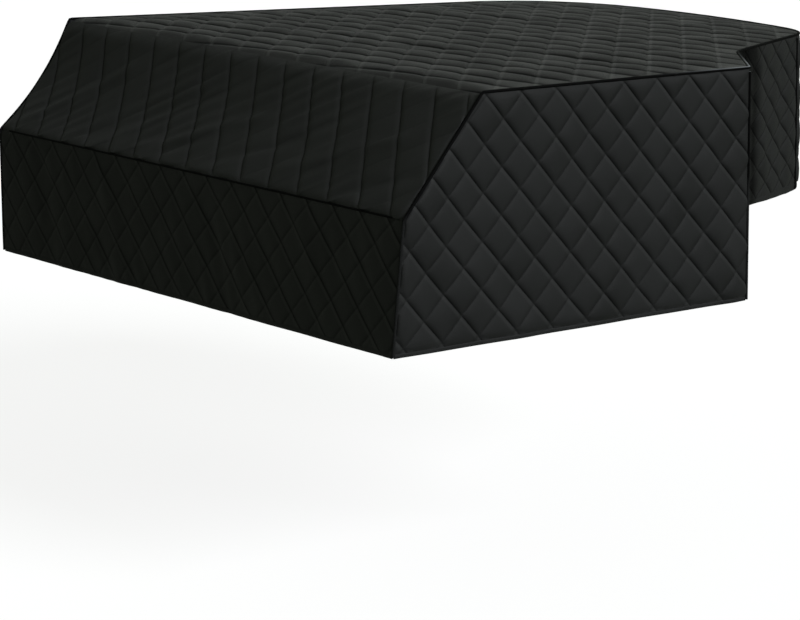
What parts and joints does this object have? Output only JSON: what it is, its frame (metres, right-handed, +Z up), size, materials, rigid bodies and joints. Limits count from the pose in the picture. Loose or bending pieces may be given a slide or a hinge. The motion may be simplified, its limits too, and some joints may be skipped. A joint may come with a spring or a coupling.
{
  "type": "grand piano cover",
  "caption": "Fitted quilted cloth cover for a grand piano, hollow and open underneath, with a sloping front, an inward-bending side and a round tail.",
  "frame": {"origin": "under the lid panel, on its inner face, midway between the cheeks and 0.80 m behind the keyboard end", "axes": "+X to the treble side, +Y from the keyboard end to the tail, +Z up"},
  "size_m": [1.4486, 1.652, 0.5143],
  "materials": {
    "quilted_cloth": "matte black woven polyester, quilted in diamonds over a thin filling",
    "welt_cord": "black cloth-covered welt cord with a soft sheen"
  },
  "bodies": {
    "root": {"top_panel": "quilted_cloth", "slope_panel": "quilted_cloth", "front_panel": "quilted_cloth", "cheek_treble": "quilted_cloth", "cheek_bass": "quilted_cloth", "bentside_panel": "quilted_cloth", "tail_panel": "quilted_cloth", "cord_rim": "welt_cord", "cord_front": "welt_cord", "cord_cheek_treble": "welt_cord", "cord_cheek_bass": "welt_cord", "cord_tail": "welt_cord"}
  },
  "joints": []
}
